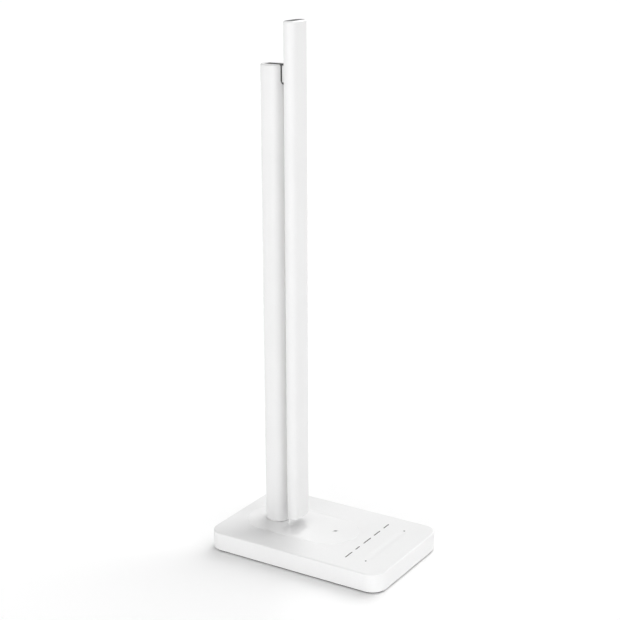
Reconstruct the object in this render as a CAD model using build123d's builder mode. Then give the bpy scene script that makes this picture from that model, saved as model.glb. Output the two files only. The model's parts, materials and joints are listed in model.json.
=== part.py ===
from build123d import *
import os

os.makedirs("parts", exist_ok=True)

# Folding LED desk lamp with a wireless charging base, in millimetres.
#
# The origin is the centre of the base's footprint on the table, +Z is up and +X points towards the
# touch controls. A post stands at the rear of the base and turns on a spindle; a flat light bar hangs
# from a hinge in the top of the post, folded down beside it.

# Base
base_length = 190.0
base_width = 121.0
base_top = 19.4
base_corner = 15.0
base_wall = 2.4
roof_thickness = 2.5
top_edge_radius = 1.4
foot_height = 1.4
foot_inset = 1.6
plate_thickness = 2.2
fit_gap = 0.05
plate_gap = 0.2

# Charging pad, a stadium let into the top
pad_length = 118.4
pad_width = 60.0
pad_centre_x = -24.0
pad_depth = 1.4
pad_proud = 0.1
charge_x = 11.8
charge_y = 2.4

# Touch controls
mark_x = 48.5
mark_width = 1.2
mark_middles = [-34.4, -18.0, 0.2, 19.2, 37.4]
mark_lengths = [12.6, 7.8, 14.0, 12.0, 10.4]
mark_depth = 0.4
mark_proud = 0.02
slider_x = 68.5
slider_half_length = 37.4
slider_dot_radius = 0.9
trough_half_width = 4.2
trough_depth = 0.22
trough_half_length = 33.0

# Post
post_x = -53.0
post_length = 24.0
post_width = 20.0
post_wall = 1.5
post_bottom = 19.9
post_top = 464.9
post_edge = 1.1
yoke_recess = 0.1

# Swivel in the base
spindle_radius = 5.0
spindle_bottom = 4.6
running_gap = 0.03
bush_radius = 7.0
swivel_washer_radius = 9.8
wire_bore_radius = 2.5
lead_radius = 1.5

# Hinge in the top of the post
hinge_x = -51.0
hinge_z = 456.0
hinge_pin_radius = 2.5
hinge_pin_length = 16.0
knuckle_radius = 7.2
knuckle_half_width = 2.85
slot_half_width = 4.6
slot_back_x = -59.9
slot_bottom = 446.4
liner_wall = 1.6
liner_floor = 2.2

# Light bar
bar_x = -29.4
bar_width = 28.0
bar_depth = 12.4
bar_wall = 1.5
bar_bottom = 27.0
bar_top = 504.2
bar_edge = 1.1
cap_recess = 0.1
cap_thickness = 3.0
window_half_width = 7.6
window_bottom = 41.0
window_top = 439.0
window_lip = 1.0
led_count = 24
led_pitch = 16.0

# Fasteners
boss_radius = 3.5
thread_radius = 1.1
small_head_radius = 2.3
m3_radius = 1.5
m3_head_radius = 2.8
m3_head_height = 1.6
screw_end_gap = 0.5

# Heights worked out from the sizes above
plate_top = foot_height + plate_thickness
roof_underside = base_top - roof_thickness
pad_floor = base_top - pad_depth
pad_top = base_top + pad_proud
mark_floor = base_top - mark_depth
trough_radius = (trough_half_width**2 + trough_depth**2) / (2 * trough_depth)
bar_back = bar_x - bar_depth / 2
bar_inner_back = bar_back + bar_wall
bar_inner_front = bar_x + bar_depth / 2 - bar_wall
led_middle_z = (window_bottom + window_top) / 2


def centred_at(x, z):
    """A horizontal plane at height z, with its origin on the lamp's long centre line at x."""
    return Plane(origin=(x, 0, z))


def facing_x(x, z=0.0):
    """An upright plane whose normal is +X, with its own x axis along +Y."""
    return Plane(origin=(x, 0, z), x_dir=(0, 1, 0), z_dir=(1, 0, 0))


def finish(piece, label):
    piece.label = label
    export_step(piece, f"parts/{label}.step")


# ---------------------------------------------------------------- base shell and what it carries

shell_inner_length = base_length - 2 * base_wall
shell_inner_width = base_width - 2 * base_wall
boss_places = [(84, 49), (84, -49), (-84, 49), (-84, -49), (0, 52), (0, -52)]
boss_screw_top = 13.0
socket_z = 9.9
socket_width = 9.0
socket_height = 3.3
socket_back = -base_length / 2 + 0.2
socket_depth = 8.5
dot_places = [(slider_x, -slider_half_length), (slider_x, slider_half_length)]

with BuildPart() as base_shell:
    with BuildSketch(Plane.XY.offset(foot_height)):
        RectangleRounded(base_length, base_width, base_corner)
    extrude(amount=base_top - foot_height)
    fillet(base_shell.faces().sort_by(Axis.Z)[-1].edges(), top_edge_radius)
    chamfer(base_shell.faces().sort_by(Axis.Z)[0].edges(), 0.5)
    with BuildSketch(Plane.XY.offset(foot_height)):
        RectangleRounded(shell_inner_length, shell_inner_width, base_corner - base_wall)
    extrude(amount=roof_underside - foot_height, mode=Mode.SUBTRACT)
    with BuildSketch(Plane.XY.offset(plate_top)):
        with Locations(*boss_places):
            Circle(boss_radius)
    extrude(amount=roof_underside - plate_top)
    with BuildSketch(Plane.XY.offset(plate_top)):
        with Locations(*boss_places):
            Circle(thread_radius)
    extrude(amount=boss_screw_top - plate_top, mode=Mode.SUBTRACT)
    with BuildSketch(centred_at(pad_centre_x, pad_floor)):
        SlotOverall(pad_length, pad_width)
    extrude(amount=pad_depth, mode=Mode.SUBTRACT)
    with BuildSketch(centred_at(post_x, roof_underside)):
        Circle(bush_radius + fit_gap)
    extrude(amount=roof_thickness, mode=Mode.SUBTRACT)
    with Locations((slider_x, 0, base_top + trough_radius - trough_depth)):
        Cylinder(trough_radius, 2 * trough_half_length, rotation=(90, 0, 0), mode=Mode.SUBTRACT)
    with Locations(
        (slider_x, -trough_half_length, base_top + trough_radius - trough_depth),
        (slider_x, trough_half_length, base_top + trough_radius - trough_depth),
    ):
        Sphere(trough_radius, mode=Mode.SUBTRACT)
    with BuildSketch(Plane.XY.offset(mark_floor)):
        for middle, length in zip(mark_middles, mark_lengths):
            with Locations((mark_x, middle)):
                SlotOverall(length, mark_width, rotation=90)
        with Locations(*dot_places):
            Circle(slider_dot_radius)
    extrude(amount=mark_depth, mode=Mode.SUBTRACT)
    with BuildSketch(facing_x(-base_length / 2, socket_z)):
        SlotOverall(socket_width + 2 * fit_gap, socket_height + 2 * fit_gap)
    extrude(amount=base_wall, mode=Mode.SUBTRACT)
finish(base_shell.part, "base_shell")

bolt_outline = [(2.1, 3.2), (-2.3, -0.5), (-0.2, -0.5), (-2.1, -3.2), (2.3, 0.5), (0.2, 0.5)]
charge_mark_depth = 0.3

with BuildPart() as charging_pad:
    with BuildSketch(centred_at(pad_centre_x, pad_floor)):
        SlotOverall(pad_length, pad_width)
    extrude(amount=pad_top - pad_floor)
    chamfer(charging_pad.faces().sort_by(Axis.Z)[-1].edges(), 0.08)
    with BuildSketch(centred_at(post_x, pad_floor)):
        Circle(bush_radius + fit_gap)
    extrude(amount=pad_top - pad_floor, mode=Mode.SUBTRACT)
    with BuildSketch(Plane.XY.offset(pad_top - charge_mark_depth)):
        with Locations((charge_x, charge_y)):
            Polygon(*bolt_outline, align=None)
    extrude(amount=charge_mark_depth, mode=Mode.SUBTRACT)
finish(charging_pad.part, "charging_pad")

with BuildPart() as charge_mark:
    with BuildSketch(Plane.XY.offset(pad_top - charge_mark_depth)):
        with Locations((charge_x, charge_y)):
            Polygon(*bolt_outline, align=None)
    extrude(amount=charge_mark_depth + mark_proud)
finish(charge_mark.part, "charge_mark")

with BuildPart() as mode_marks:
    with BuildSketch(Plane.XY.offset(mark_floor)):
        for middle, length in zip(mark_middles, mark_lengths):
            with Locations((mark_x, middle)):
                SlotOverall(length, mark_width, rotation=90)
    extrude(amount=mark_depth + mark_proud)
finish(mode_marks.part, "mode_marks")

with BuildPart() as slider_marks:
    with BuildSketch(Plane.XY.offset(mark_floor)):
        with Locations(*dot_places):
            Circle(slider_dot_radius)
    extrude(amount=mark_depth + mark_proud)
finish(slider_marks.part, "slider_marks")

# ---------------------------------------------------------------- underside of the base

standoff_places = [(42, 32), (42, -32), (78, 32), (78, -32)]
standoff_radius = 3.0
board_bottom = 7.6
board_thickness = 1.6
counterbore_depth = 1.3
hex_socket_radius = 1.1
hex_socket_depth = 0.7
base_screw_length = 9.0

with BuildPart() as foot_pad:
    with BuildSketch():
        RectangleRounded(
            base_length - 2 * foot_inset, base_width - 2 * foot_inset, base_corner - foot_inset
        )
    extrude(amount=foot_height)
    chamfer(foot_pad.faces().sort_by(Axis.Z)[0].edges(), 0.3)
finish(foot_pad.part, "foot_pad")

with BuildPart() as base_plate:
    with BuildSketch(Plane.XY.offset(foot_height)):
        RectangleRounded(
            shell_inner_length - 2 * plate_gap,
            shell_inner_width - 2 * plate_gap,
            base_corner - base_wall - plate_gap,
        )
    extrude(amount=plate_thickness)
    with BuildSketch(Plane.XY.offset(plate_top)):
        with Locations(*standoff_places):
            Circle(standoff_radius)
    extrude(amount=board_bottom - plate_top)
    with BuildSketch(Plane.XY.offset(foot_height)):
        with Locations(*boss_places):
            Circle(small_head_radius + plate_gap)
    extrude(amount=counterbore_depth, mode=Mode.SUBTRACT)
    with BuildSketch(Plane.XY.offset(foot_height)):
        with Locations(*boss_places):
            Circle(thread_radius + plate_gap)
    extrude(amount=plate_thickness, mode=Mode.SUBTRACT)
    with BuildSketch(Plane.XY.offset(plate_top)):
        with Locations(*standoff_places):
            Circle(thread_radius)
    extrude(amount=board_bottom - plate_top, mode=Mode.SUBTRACT)
finish(base_plate.part, "base_plate")

with BuildPart() as base_screws:
    with BuildSketch(Plane.XY.offset(foot_height + plate_gap)):
        with Locations(*boss_places):
            Circle(small_head_radius)
    extrude(amount=counterbore_depth - plate_gap)
    with BuildSketch(Plane.XY.offset(foot_height + plate_gap)):
        with Locations(*boss_places):
            RegularPolygon(hex_socket_radius, 6)
    extrude(amount=hex_socket_depth, mode=Mode.SUBTRACT)
    with BuildSketch(Plane.XY.offset(foot_height + counterbore_depth)):
        with Locations(*boss_places):
            Circle(thread_radius)
    extrude(amount=base_screw_length)
finish(base_screws.part, "base_screws")

ballast_length = 112.0
ballast_width = 88.0
ballast_centre_x = -26.0
ballast_thickness = 5.0
ballast_corner = 8.0
ballast_top = plate_top + ballast_thickness
mount_flange_radius = 22.0
mount_hub_radius = 12.0
mount_flange_top = ballast_top + 3.0
mount_screw_circle = 17.0
nut_well_radius = 11.0
mount_screw_depth = 4.0

with BuildPart() as ballast_plate:
    with BuildSketch(centred_at(ballast_centre_x, plate_top)):
        RectangleRounded(ballast_length, ballast_width, ballast_corner)
    extrude(amount=ballast_thickness)
    with BuildSketch(centred_at(post_x, plate_top)):
        Circle(nut_well_radius)
    extrude(amount=ballast_thickness, mode=Mode.SUBTRACT)
    with BuildSketch(centred_at(post_x, ballast_top)):
        with PolarLocations(mount_screw_circle, 4, start_angle=45):
            Circle(m3_radius)
    extrude(amount=-mount_screw_depth, mode=Mode.SUBTRACT)
finish(ballast_plate.part, "ballast_plate")

# ---------------------------------------------------------------- swivel

with BuildPart() as post_mount:
    with BuildSketch(centred_at(post_x, ballast_top)):
        Circle(mount_flange_radius)
    extrude(amount=mount_flange_top - ballast_top)
    with BuildSketch(centred_at(post_x, mount_flange_top)):
        Circle(mount_hub_radius)
    extrude(amount=roof_underside - mount_flange_top)
    with BuildSketch(centred_at(post_x, ballast_top)):
        Circle(bush_radius)
        with PolarLocations(mount_screw_circle, 4, start_angle=45):
            Circle(m3_radius)
    extrude(amount=roof_underside - ballast_top, mode=Mode.SUBTRACT)
finish(post_mount.part, "post_mount")

with BuildPart() as mount_screws:
    with BuildSketch(centred_at(post_x, ballast_top - mount_screw_depth + screw_end_gap)):
        with PolarLocations(mount_screw_circle, 4, start_angle=45):
            Circle(m3_radius)
    extrude(amount=mount_flange_top - ballast_top + mount_screw_depth - screw_end_gap)
    with BuildSketch(centred_at(post_x, mount_flange_top)):
        with PolarLocations(mount_screw_circle, 4, start_angle=45):
            Circle(m3_head_radius)
    extrude(amount=m3_head_height)
finish(mount_screws.part, "mount_screws")

with BuildPart() as swivel_bush:
    with BuildSketch(centred_at(post_x, ballast_top)):
        Circle(bush_radius)
        Circle(spindle_radius + running_gap, mode=Mode.SUBTRACT)
    extrude(amount=pad_top - ballast_top)
finish(swivel_bush.part, "swivel_bush")

with BuildPart() as swivel_washer:
    with BuildSketch(centred_at(post_x, pad_top + fit_gap)):
        Circle(swivel_washer_radius)
        Circle(spindle_radius, mode=Mode.SUBTRACT)
    extrude(amount=post_bottom - pad_top - fit_gap)
finish(swivel_washer.part, "swivel_washer")

nut_radius = 9.2
nut_thickness = 3.0
spring_radius = 8.5
spring_thickness = 0.9

with BuildPart() as spindle_spring:
    with BuildSketch(centred_at(post_x, ballast_top - fit_gap - spring_thickness)):
        Circle(spring_radius)
        Circle(spindle_radius, mode=Mode.SUBTRACT)
    extrude(amount=spring_thickness)
finish(spindle_spring.part, "spindle_spring")

with BuildPart() as spindle_nut:
    with BuildSketch(centred_at(post_x, ballast_top - fit_gap - spring_thickness - nut_thickness)):
        RegularPolygon(nut_radius, 6)
        Circle(spindle_radius, mode=Mode.SUBTRACT)
    extrude(amount=nut_thickness)
finish(spindle_nut.part, "spindle_nut")

# ---------------------------------------------------------------- electronics in the base

coil_inner_radius = 10.0
coil_outer_radius = 21.5
coil_thickness = 1.2
ferrite_radius = 24.0
ferrite_thickness = 1.0
touch_board_x = 61.0
touch_board_length = 38.0
touch_board_width = 84.0
touch_board_thickness = 1.0
main_board_x = 60.0
main_board_length = 48.0
main_board_width = 76.0
board_corner = 2.0
board_top = board_bottom + board_thickness
inductor_places = [(50, 18), (50, 4)]
inductor_size = 7.0
controller_place = (66, 12)
connector_place = (52, -20)
connector_length = 6.0
connector_width = 14.0
low_part_height = 3.2
capacitor_places = [(68, -12), (68, -22)]
capacitor_radius = 3.2
capacitor_height = 5.0
socket_shell = 0.3
socket_floor = 1.5
tongue_width = 6.6
tongue_thickness = 0.7

with BuildPart() as charging_coil:
    with BuildSketch(centred_at(charge_x, roof_underside - coil_thickness)):
        Circle(coil_outer_radius)
        Circle(coil_inner_radius, mode=Mode.SUBTRACT)
    extrude(amount=coil_thickness)
finish(charging_coil.part, "charging_coil")

with BuildPart() as coil_ferrite:
    with BuildSketch(centred_at(charge_x, roof_underside - coil_thickness - ferrite_thickness)):
        Circle(ferrite_radius)
    extrude(amount=ferrite_thickness)
finish(coil_ferrite.part, "coil_ferrite")

with BuildPart() as touch_board:
    with BuildSketch(centred_at(touch_board_x, roof_underside - touch_board_thickness)):
        RectangleRounded(touch_board_length, touch_board_width, board_corner)
    extrude(amount=touch_board_thickness)
finish(touch_board.part, "touch_board")

with BuildPart() as main_board:
    with BuildSketch(centred_at(main_board_x, board_bottom)):
        RectangleRounded(main_board_length, main_board_width, board_corner)
    extrude(amount=board_thickness)
    with BuildSketch(Plane.XY.offset(board_bottom)):
        with Locations(*standoff_places):
            Circle(thread_radius + plate_gap)
    extrude(amount=board_thickness, mode=Mode.SUBTRACT)
finish(main_board.part, "main_board")

with BuildPart() as board_components:
    with BuildSketch(Plane.XY.offset(board_top)):
        with Locations(*inductor_places):
            RectangleRounded(inductor_size, inductor_size, 1.0)
        with Locations(controller_place):
            Rectangle(inductor_size, inductor_size)
        with Locations(connector_place):
            Rectangle(connector_length, connector_width)
    extrude(amount=low_part_height)
    with BuildSketch(Plane.XY.offset(board_top)):
        with Locations(*capacitor_places):
            Circle(capacitor_radius)
    extrude(amount=capacitor_height)
finish(board_components.part, "board_components")

with BuildPart() as board_screws:
    with BuildSketch(Plane.XY.offset(plate_top + screw_end_gap)):
        with Locations(*standoff_places):
            Circle(thread_radius)
    extrude(amount=board_top - plate_top - screw_end_gap)
    with BuildSketch(Plane.XY.offset(board_top)):
        with Locations(*standoff_places):
            Circle(small_head_radius)
    extrude(amount=m3_head_height)
finish(board_screws.part, "board_screws")

with BuildPart() as power_socket:
    with BuildSketch(facing_x(socket_back, socket_z)):
        SlotOverall(socket_width, socket_height)
    extrude(amount=socket_depth)
    with BuildSketch(facing_x(socket_back, socket_z)):
        SlotOverall(socket_width - 2 * socket_shell, socket_height - 2 * socket_shell)
        Rectangle(tongue_width, tongue_thickness, mode=Mode.SUBTRACT)
    extrude(amount=socket_depth - socket_floor, mode=Mode.SUBTRACT)
finish(power_socket.part, "power_socket")

# ---------------------------------------------------------------- post

tube_inner_length = post_length - 2 * post_wall
tube_inner_width = post_width - 2 * post_wall
insert_length = tube_inner_length - 2 * fit_gap
insert_width = tube_inner_width - 2 * fit_gap
foot_insert_top = 49.0
yoke_bottom = 418.0
lead_bottom = 5.0
lead_top = 440.0


def slot_profile():
    """Front outline of the hinge slot: a U with a round bottom, open at the top of the post."""
    with BuildSketch(facing_x(slot_back_x, slot_bottom + slot_half_width)) as front:
        Circle(slot_half_width)
        with Locations((0, post_width / 2)):
            Rectangle(2 * slot_half_width, post_width)
    return front.sketch


with BuildPart() as post_tube:
    with BuildSketch(centred_at(post_x, post_bottom)):
        SlotOverall(post_length, post_width)
        SlotOverall(tube_inner_length, tube_inner_width, mode=Mode.SUBTRACT)
    extrude(amount=post_top - post_bottom)
    outer_rim = post_tube.faces().sort_by(Axis.Z)[-1].outer_wire().edges()
    chamfer(outer_rim, post_edge)
    extrude(slot_profile(), amount=post_length, mode=Mode.SUBTRACT)
finish(post_tube.part, "post_tube")

with BuildPart() as post_yoke:
    with BuildSketch(centred_at(post_x, yoke_bottom)):
        SlotOverall(insert_length, insert_width)
    extrude(amount=post_top - yoke_recess - yoke_bottom)
    extrude(slot_profile(), amount=post_length, mode=Mode.SUBTRACT)
    with Locations((hinge_x, 0, hinge_z)):
        Cylinder(hinge_pin_radius, post_width, rotation=(90, 0, 0), mode=Mode.SUBTRACT)
    with BuildSketch(centred_at(post_x, yoke_bottom)):
        Circle(wire_bore_radius)
    extrude(amount=slot_bottom + slot_half_width - yoke_bottom, mode=Mode.SUBTRACT)
finish(post_yoke.part, "post_yoke")

liner_floor_z = slot_bottom + liner_floor
liner_cavity_half_width = slot_half_width - liner_wall

with BuildPart() as slot_liner:
    with BuildSketch(centred_at(post_x, slot_bottom)):
        SlotOverall(post_length - 2 * fit_gap, post_width - 2 * fit_gap)
    extrude(amount=post_top - yoke_recess - slot_bottom)
    extrude(slot_profile(), amount=post_length, mode=Mode.INTERSECT)
    with BuildSketch(facing_x(slot_back_x + liner_wall, liner_floor_z)):
        with Locations((0, post_width / 2)):
            Rectangle(2 * liner_cavity_half_width, post_width)
    extrude(amount=post_length, mode=Mode.SUBTRACT)
    with Locations((hinge_x, 0, hinge_z)):
        Cylinder(hinge_pin_radius, post_width, rotation=(90, 0, 0), mode=Mode.SUBTRACT)
    with BuildSketch(centred_at(post_x, slot_bottom)):
        Circle(wire_bore_radius)
    extrude(amount=liner_floor, mode=Mode.SUBTRACT)
finish(slot_liner.part, "slot_liner")

with BuildPart() as post_foot:
    with BuildSketch(centred_at(post_x, post_bottom)):
        SlotOverall(insert_length, insert_width)
    extrude(amount=foot_insert_top - post_bottom)
    with BuildSketch(centred_at(post_x, spindle_bottom)):
        Circle(spindle_radius)
    extrude(amount=post_bottom - spindle_bottom)
    with BuildSketch(centred_at(post_x, spindle_bottom)):
        Circle(wire_bore_radius)
    extrude(amount=foot_insert_top - spindle_bottom, mode=Mode.SUBTRACT)
finish(post_foot.part, "post_foot")

with BuildPart() as post_lead:
    with BuildSketch(centred_at(post_x, lead_bottom)):
        Circle(lead_radius)
    extrude(amount=lead_top - lead_bottom)
finish(post_lead.part, "post_lead")

with BuildPart() as hinge_pin:
    with Locations((hinge_x, 0, hinge_z)):
        Cylinder(hinge_pin_radius, hinge_pin_length, rotation=(90, 0, 0))
    chamfer(hinge_pin.edges().filter_by(GeomType.CIRCLE), 0.3)
finish(hinge_pin.part, "hinge_pin")

# ---------------------------------------------------------------- hinge block on the light bar

block_screw_places = [(0, -4.2), (0, 4.2)]
block_screw_depth = 8.0
hinge_plate_thickness = 2.0
hinge_plate_width = 15.0
hinge_plate_height = 24.0
hinge_plate_corner = 1.5
hinge_plate_front = bar_inner_back + hinge_plate_thickness

with BuildPart() as hinge_block:
    with BuildSketch(Plane(origin=(hinge_x, 0, hinge_z), x_dir=(1, 0, 0), z_dir=(0, -1, 0))):
        Circle(knuckle_radius)
        with Locations(((bar_back - hinge_x) / 2, 0)):
            Rectangle(bar_back - hinge_x, 2 * knuckle_radius)
    extrude(amount=knuckle_half_width, both=True)
    chamfer(hinge_block.edges().group_by(Axis.Y)[0] + hinge_block.edges().group_by(Axis.Y)[-1], 0.4)
    with Locations((hinge_x, 0, hinge_z)):
        Cylinder(
            hinge_pin_radius + running_gap, post_width, rotation=(90, 0, 0), mode=Mode.SUBTRACT
        )
    with BuildSketch(facing_x(bar_back, hinge_z)):
        with Locations(*block_screw_places):
            Circle(m3_radius)
    extrude(amount=-block_screw_depth, mode=Mode.SUBTRACT)
finish(hinge_block.part, "hinge_block")

with BuildPart() as hinge_plate:
    with BuildSketch(facing_x(bar_inner_back, hinge_z)):
        RectangleRounded(hinge_plate_width, hinge_plate_height, hinge_plate_corner)
    extrude(amount=hinge_plate_thickness)
    with BuildSketch(facing_x(bar_inner_back, hinge_z)):
        with Locations(*block_screw_places):
            Circle(m3_radius + fit_gap)
    extrude(amount=hinge_plate_thickness, mode=Mode.SUBTRACT)
finish(hinge_plate.part, "hinge_plate")

with BuildPart() as block_screws:
    with BuildSketch(facing_x(bar_back - block_screw_depth + screw_end_gap, hinge_z)):
        with Locations(*block_screw_places):
            Circle(m3_radius)
    extrude(amount=hinge_plate_front - bar_back + block_screw_depth - screw_end_gap)
    with BuildSketch(facing_x(hinge_plate_front, hinge_z)):
        with Locations(*block_screw_places):
            Circle(m3_head_radius)
    extrude(amount=m3_head_height)
finish(block_screws.part, "block_screws")

# ---------------------------------------------------------------- light bar

bar_inner_width = bar_width - 2 * bar_wall
bar_inner_depth = bar_depth - 2 * bar_wall
window_height = window_top - window_bottom
diffuser_flange = 0.8

with BuildPart() as bar_housing:
    with BuildSketch(centred_at(bar_x, bar_bottom)):
        SlotOverall(bar_width, bar_depth, rotation=90)
        SlotOverall(bar_inner_width, bar_inner_depth, rotation=90, mode=Mode.SUBTRACT)
    extrude(amount=bar_top - bar_bottom)
    rims = [bar_housing.faces().sort_by(Axis.Z)[i].outer_wire().edges() for i in (0, -1)]
    chamfer(rims[0] + rims[1], bar_edge)
    with BuildSketch(facing_x(bar_back, led_middle_z)):
        Rectangle(2 * window_half_width, window_height)
    extrude(amount=bar_wall, mode=Mode.SUBTRACT)
    with BuildSketch(facing_x(bar_back, hinge_z)):
        with Locations(*block_screw_places):
            Circle(m3_radius + fit_gap)
    extrude(amount=bar_wall, mode=Mode.SUBTRACT)
finish(bar_housing.part, "bar_housing")

with BuildPart() as diffuser:
    with BuildSketch(facing_x(bar_back, led_middle_z)):
        Rectangle(2 * window_half_width - 2 * fit_gap, window_height - 2 * fit_gap)
    extrude(amount=bar_wall)
    with BuildSketch(facing_x(bar_inner_back, led_middle_z)):
        Rectangle(2 * window_half_width - window_lip, window_height + 2 * window_lip)
    extrude(amount=diffuser_flange)
finish(diffuser.part, "diffuser")

strip_half_width = 6.5
spreader_thickness = 1.5
led_board_thickness = 1.0
led_thickness = 0.7
led_width = 2.8
led_length = 3.5
spreader_length = window_height - 2.0
led_board_length = window_height - 6.0
spreader_back = bar_inner_front - spreader_thickness
led_board_back = spreader_back - led_board_thickness

with BuildPart() as heat_spreader:
    with BuildSketch(facing_x(spreader_back, led_middle_z)):
        Rectangle(2 * strip_half_width, spreader_length)
    extrude(amount=spreader_thickness)
finish(heat_spreader.part, "heat_spreader")

with BuildPart() as led_board:
    with BuildSketch(facing_x(led_board_back, led_middle_z)):
        Rectangle(2 * strip_half_width, led_board_length)
    extrude(amount=led_board_thickness)
finish(led_board.part, "led_board")

with BuildPart() as led_chips:
    with BuildSketch(facing_x(led_board_back - led_thickness, led_middle_z)):
        with GridLocations(0, led_pitch, 1, led_count):
            Rectangle(led_width, led_length)
    extrude(amount=led_thickness)
finish(led_chips.part, "led_chips")

for cap_label, cap_floor in (
    ("end_cap_bottom", bar_bottom + cap_recess),
    ("end_cap_top", bar_top - cap_recess - cap_thickness),
):
    with BuildPart() as end_cap:
        with BuildSketch(centred_at(bar_x, cap_floor)):
            SlotOverall(bar_inner_width - 2 * fit_gap, bar_inner_depth - 2 * fit_gap, rotation=90)
        extrude(amount=cap_thickness)
    finish(end_cap.part, cap_label)
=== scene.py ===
import bpy
import json
import math
from mathutils import Matrix, Vector


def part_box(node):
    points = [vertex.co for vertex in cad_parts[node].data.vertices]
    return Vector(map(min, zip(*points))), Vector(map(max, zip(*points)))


# Materials, floor, lights and camera for the folding lamp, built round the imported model.

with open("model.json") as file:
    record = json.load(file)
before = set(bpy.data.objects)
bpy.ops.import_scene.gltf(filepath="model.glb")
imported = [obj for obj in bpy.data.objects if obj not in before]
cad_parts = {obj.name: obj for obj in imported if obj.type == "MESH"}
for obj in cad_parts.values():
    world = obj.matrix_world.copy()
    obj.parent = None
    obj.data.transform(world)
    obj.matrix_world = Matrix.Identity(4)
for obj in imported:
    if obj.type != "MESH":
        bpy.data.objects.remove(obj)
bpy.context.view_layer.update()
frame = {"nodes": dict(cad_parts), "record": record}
nodes = frame["nodes"]
scene = bpy.context.scene

# ---------------------------------------------------------------- camera and light, driving values

camera_place = (0.6531, -1.0643, 0.6115)
camera_yaw = math.radians(32.11)
camera_pitch = math.radians(16.508)
camera_roll = math.radians(-0.22)
camera_lens = 81.64
sensor_width = 36.0

# Soft boxes round the lamp: the direction each one stands in, its strength and its width in degrees
soft_boxes = {
    "back_key": ((0.1, 1.0, 1.0), 2.3, 60),
    "back_low": ((-0.4, 1.0, 0.25), 0.4, 60),
    "left_fill": ((-1.0, -0.2, 0.5), 0.45, 60),
    "front_fill": ((-0.2, -1.0, 0.3), 0.7, 60),
    "front_low": ((0.2, -1.0, 0.05), 1.7, 40),
    "right_fill": ((1.0, -0.1, 0.2), 1.4, 60),
}
ambient_strength = 0.2
backdrop_strength = 1.0
floor_size = 60.0
floor_glow = 0.03

# Scales of the patterns in the finishes: a larger number is a finer pattern
cloud_scale = 18.0
speck_scale = 900.0
grain_scale = 2600.0
metal_cloud_scale = 40.0
board_cloud_scale = 60.0
wire_cloud_scale = 300.0
track_scale = 320.0
winding_scale = 420.0
floor_cloud_scale = 3.0
noise_roughness = 0.55

# Heights of the relief in the finishes, in metres
brushed_relief = 0.00001
track_relief = 0.00003
winding_relief = 0.0002

# How far colour and gloss stray from their middle value
colour_swing = 0.02
plastic_gloss_swing = 0.04


# ---------------------------------------------------------------- node helpers

class Shader:
    """One material's node tree, with short calls for the nodes that the materials here use."""

    def __init__(self, name, **constants):
        self.material = bpy.data.materials.new(name)
        self.material.use_nodes = True
        self.tree = self.material.node_tree
        self.tree.nodes.clear()
        self.output = self.tree.nodes.new("ShaderNodeOutputMaterial")
        self.surface = self.tree.nodes.new("ShaderNodeBsdfPrincipled")
        self.link(self.surface.outputs["BSDF"], self.output.inputs["Surface"])
        for socket, value in constants.items():
            self.surface.inputs[socket.replace("_", " ")].default_value = value
        self.place = self.tree.nodes.new("ShaderNodeTexCoord").outputs["Object"]

    def link(self, out_socket, in_socket):
        self.tree.links.new(out_socket, in_socket)

    def stretched(self, scale):
        """Object coordinates scaled by a different amount along each axis."""
        node = self.tree.nodes.new("ShaderNodeMapping")
        node.inputs["Scale"].default_value = scale
        self.link(self.place, node.inputs["Vector"])
        return node.outputs["Vector"]

    def noise(self, scale, detail=4.0, vector=None):
        node = self.tree.nodes.new("ShaderNodeTexNoise")
        node.inputs["Scale"].default_value = scale
        node.inputs["Detail"].default_value = detail
        node.inputs["Roughness"].default_value = noise_roughness
        self.link(vector or self.place, node.inputs["Vector"])
        return node.outputs["Fac"]

    def cell_edges(self, scale):
        """Distance to the nearest edge of a net of irregular cells."""
        node = self.tree.nodes.new("ShaderNodeTexVoronoi")
        node.feature = "DISTANCE_TO_EDGE"
        node.inputs["Scale"].default_value = scale
        self.link(self.place, node.inputs["Vector"])
        return node.outputs["Distance"]

    def remap(self, value, low, high, from_low=0.3, from_high=0.7):
        node = self.tree.nodes.new("ShaderNodeMapRange")
        node.inputs["From Min"].default_value = from_low
        node.inputs["From Max"].default_value = from_high
        node.inputs["To Min"].default_value = low
        node.inputs["To Max"].default_value = high
        self.link(value, node.inputs["Value"])
        return node.outputs["Result"]

    def blend(self, factor, first, second):
        """Colour from first to second; each is a colour or a socket."""
        node = self.tree.nodes.new("ShaderNodeMix")
        node.data_type = "RGBA"
        self.link(factor, node.inputs["Factor"])
        for socket, value in (("A", first), ("B", second)):
            target = [s for s in node.inputs if s.name == socket and s.type == "RGBA"][0]
            if isinstance(value, bpy.types.NodeSocket):
                self.link(value, target)
            else:
                target.default_value = (*value, 1.0)
        return [s for s in node.outputs if s.type == "RGBA"][0]

    def bump(self, height, distance):
        node = self.tree.nodes.new("ShaderNodeBump")
        node.inputs["Distance"].default_value = distance
        node.inputs["Strength"].default_value = 1.0
        self.link(height, node.inputs["Height"])
        return node.outputs["Normal"]

    def set(self, **sockets):
        """Link a node's output to each shader input named, with _ for a space."""
        for name, value in sockets.items():
            self.link(value, self.surface.inputs[name.replace("_", " ")])


def grey(level):
    return (level, level, level)


def tinted(colour, gain):
    return tuple(min(1.0, c * gain) for c in colour)


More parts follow.
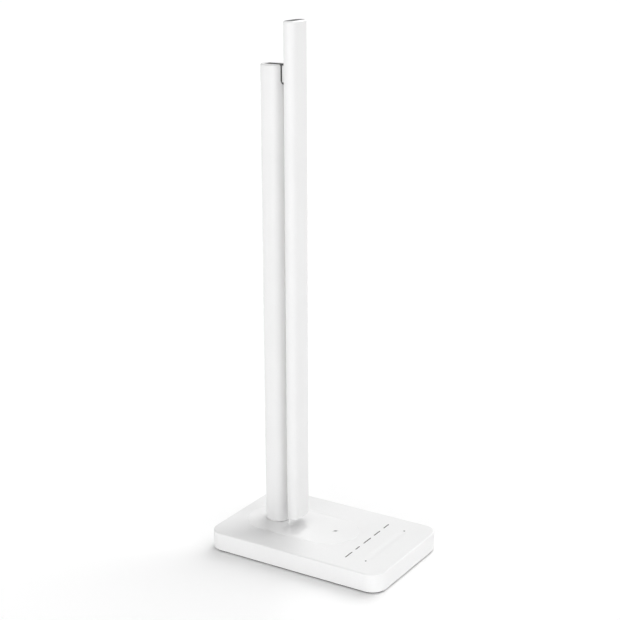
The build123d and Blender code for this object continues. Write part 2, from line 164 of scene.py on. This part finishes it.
def moulded(name, colour, rough, grain=0.00002, **constants):
    """Moulded plastic or powder coat: a fine even grain, with faint cloudiness in colour and gloss."""
    s = Shader(name, **constants)
    cloud = s.noise(cloud_scale)
    fine = s.noise(grain_scale, detail=2.0)
    speck = s.noise(speck_scale, detail=3.0)
    base = s.blend(s.remap(cloud, 0, 1), tinted(colour, 1 - colour_swing), tinted(colour, 1 + colour_swing))
    s.set(
        Base_Color=s.blend(s.remap(speck, 0, 0.5), base, tinted(colour, 1 - 2 * colour_swing)),
        Roughness=s.remap(cloud, rough - plastic_gloss_swing, rough + plastic_gloss_swing),
        Normal=s.bump(fine, grain),
    )
    return s.material


def brushed(name, colour, rough, along=(60.0, 60.0, 1500.0)):
    """Metal with fine lines along one direction."""
    s = Shader(name, Metallic=1.0)
    lines = s.noise(1.0, detail=6.0, vector=s.stretched(along))
    cloud = s.noise(metal_cloud_scale)
    s.set(
        Base_Color=s.blend(s.remap(lines, 0, 1), tinted(colour, 0.85), tinted(colour, 1.1)),
        Roughness=s.remap(cloud, rough - 0.08, rough + 0.1),
        Normal=s.bump(lines, brushed_relief),
    )
    return s.material


def board(name, colour):
    """Printed circuit board: solder mask over faint copper tracks."""
    s = Shader(name, Specular_IOR_Level=0.5)
    tracks = s.cell_edges(track_scale)
    s.set(
        Base_Color=s.blend(s.remap(tracks, 1, 0, 0.02, 0.08), colour, tinted(colour, 1.5)),
        Roughness=s.remap(s.noise(board_cloud_scale), 0.25, 0.4),
        Normal=s.bump(tracks, track_relief),
    )
    return s.material


def wound(name, colour):
    """Enamelled copper wire wound flat round the coil's own centre."""
    s = Shader(name, Metallic=1.0)
    low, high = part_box("charging_coil")
    centre = (low + high) / 2
    shift = s.tree.nodes.new("ShaderNodeMapping")
    shift.inputs["Location"].default_value = (-centre.x, -centre.y, 0)
    s.link(s.place, shift.inputs["Vector"])
    rings = s.tree.nodes.new("ShaderNodeTexWave")
    rings.wave_type = "RINGS"
    rings.rings_direction = "Z"
    rings.inputs["Scale"].default_value = winding_scale
    s.link(shift.outputs["Vector"], rings.inputs["Vector"])
    turns = rings.outputs["Fac"]
    s.set(
        Base_Color=s.blend(turns, tinted(colour, 0.45), colour),
        Roughness=s.remap(s.noise(wire_cloud_scale), 0.25, 0.4),
        Normal=s.bump(turns, winding_relief),
    )
    return s.material


finishes = {
    "white_shell": moulded("matt_white_shell", grey(0.8), 0.5, grain=0.00003),
    "white_gloss": moulded(
        "gloss_white_pad", grey(0.885), 0.12, grain=0.000002, Coat_Weight=0.5, Coat_Roughness=0.03
    ),
    "white_metal": moulded(
        "satin_white_coat", grey(0.755), 0.34, grain=0.00001, Coat_Weight=0.6, Coat_Roughness=0.2
    ),
    "zinc_white": moulded("painted_zinc", grey(0.84), 0.4),
    "print_grey": moulded("printed_grey", (0.04, 0.04, 0.041), 0.5),
    "black_plate": moulded("black_base_plate", (0.05, 0.05, 0.052), 0.55, grain=0.00008),
    "foot_rubber": moulded("dark_foot_rubber", (0.03, 0.03, 0.031), 0.75, grain=0.0001),
    "bush_plastic": moulded("acetal_bush", (0.78, 0.77, 0.74), 0.4),
    "ferrite": moulded("sintered_ferrite", grey(0.09), 0.7, grain=0.0001),
    "component_black": moulded("moulded_components", grey(0.045), 0.45),
    # Hinge washers: real parts, but their near-black colour is painted shade that keeps the seam between
    # post and hinge block dark.
    "washer_dark": moulded("washer_painted_seam_shade", grey(0.08), 0.6),
    "lead_jacket": moulded("lead_jacket", grey(0.72), 0.5),
    "block_white": moulded("satin_white_block", grey(0.8), 0.38),
    "opal": moulded(
        "opal_diffuser", (0.9, 0.9, 0.885), 0.3, grain=0.00001, Subsurface_Weight=0.15,
        Subsurface_Scale=0.003,
    ),
    "white_board": board("white_led_board", (0.86, 0.86, 0.84)),
    "led_yellow": moulded("led_phosphor", (0.86, 0.7, 0.2), 0.35),
    "cap_grey": moulded("dark_end_cap", (0.035, 0.035, 0.036), 0.5, grain=0.00005),
    "circuit_board": board("green_circuit_board", (0.02, 0.16, 0.07)),
    "steel": brushed("plated_steel", (0.6, 0.6, 0.61), 0.32),
    "plain_steel": brushed("plain_sheet_steel", (0.42, 0.42, 0.43), 0.45, along=(1500.0, 60.0, 60.0)),
    "zinc": brushed("cast_zinc", (0.52, 0.52, 0.53), 0.5, along=(400.0, 400.0, 400.0)),
    "socket_metal": brushed("socket_shell", (0.62, 0.62, 0.63), 0.3),
    "bare_aluminium": brushed("mill_aluminium", (0.76, 0.76, 0.77), 0.35),
    "copper": wound("copper_winding", (0.8, 0.42, 0.25)),
}

for row in frame["record"]["subparts"]:
    carried = nodes[row["node"]]
    carried.data.materials.clear()
    carried.data.materials.append(finishes[row["material_slot"]])


# ---------------------------------------------------------------- floor, lights and camera

def floor_material():
    s = Shader("pale_floor", Specular_IOR_Level=0.1, Emission_Strength=floor_glow)
    s.surface.inputs["Emission Color"].default_value = (1.0, 1.0, 1.0, 1.0)
    cloud = s.noise(floor_cloud_scale)
    s.set(
        Base_Color=s.blend(s.remap(cloud, 0, 1), grey(0.96), grey(0.97)),
        Roughness=s.remap(cloud, 0.85, 0.95),
    )
    return s.material


def add_floor():
    half = floor_size / 2
    mesh = bpy.data.meshes.new("floor")
    corners = [(-half, -half, 0), (half, -half, 0), (half, half, 0), (-half, half, 0)]
    mesh.from_pydata(corners, [], [(0, 1, 2, 3)])
    floor = bpy.data.objects.new("floor", mesh)
    floor.data.materials.append(floor_material())
    scene.collection.objects.link(floor)


def add_world():
    """A pale backdrop beyond the floor, which lights the lamp less than it shows."""
    world = bpy.data.worlds.new("studio")
    world.use_nodes = True
    tree = world.node_tree
    background = tree.nodes["Background"]
    background.inputs["Color"].default_value = (1.0, 1.0, 1.0, 1.0)
    seen = tree.nodes.new("ShaderNodeLightPath").outputs["Is Camera Ray"]
    strength = tree.nodes.new("ShaderNodeMapRange")
    strength.inputs["To Min"].default_value = ambient_strength
    strength.inputs["To Max"].default_value = backdrop_strength
    tree.links.new(seen, strength.inputs["Value"])
    tree.links.new(strength.outputs["Result"], background.inputs["Strength"])
    scene.world = world


def add_sun(name, towards, strength, spread):
    """A very soft studio light, even over the whole floor, that comes from the direction given."""
    data = bpy.data.lights.new(name, "SUN")
    data.energy = strength
    data.angle = spread
    light = bpy.data.objects.new(name, data)
    light.location = towards
    light.rotation_mode = "QUATERNION"
    light.rotation_quaternion = (-Vector(towards)).to_track_quat("-Z", "Y")
    scene.collection.objects.link(light)


def add_camera():
    data = bpy.data.cameras.new("camera")
    data.lens = camera_lens
    data.sensor_width = sensor_width
    data.clip_end = 100.0
    camera = bpy.data.objects.new("camera", data)
    forward = Vector((
        -math.sin(camera_yaw) * math.cos(camera_pitch),
        math.cos(camera_yaw) * math.cos(camera_pitch),
        -math.sin(camera_pitch),
    ))
    level_right = forward.cross(Vector((0, 0, 1))).normalized()
    level_up = level_right.cross(forward)
    right = math.cos(camera_roll) * level_right + math.sin(camera_roll) * level_up
    up = math.cos(camera_roll) * level_up - math.sin(camera_roll) * level_right
    turn = Matrix((right, up, -forward)).transposed()
    camera.matrix_world = Matrix.Translation(camera_place) @ turn.to_4x4()
    scene.collection.objects.link(camera)
    scene.camera = camera


scene.view_settings.view_transform = "Standard"
add_floor()
add_world()
for box_name, (box_direction, box_strength, box_width) in soft_boxes.items():
    add_sun(box_name, box_direction, box_strength, math.radians(box_width))
add_camera()
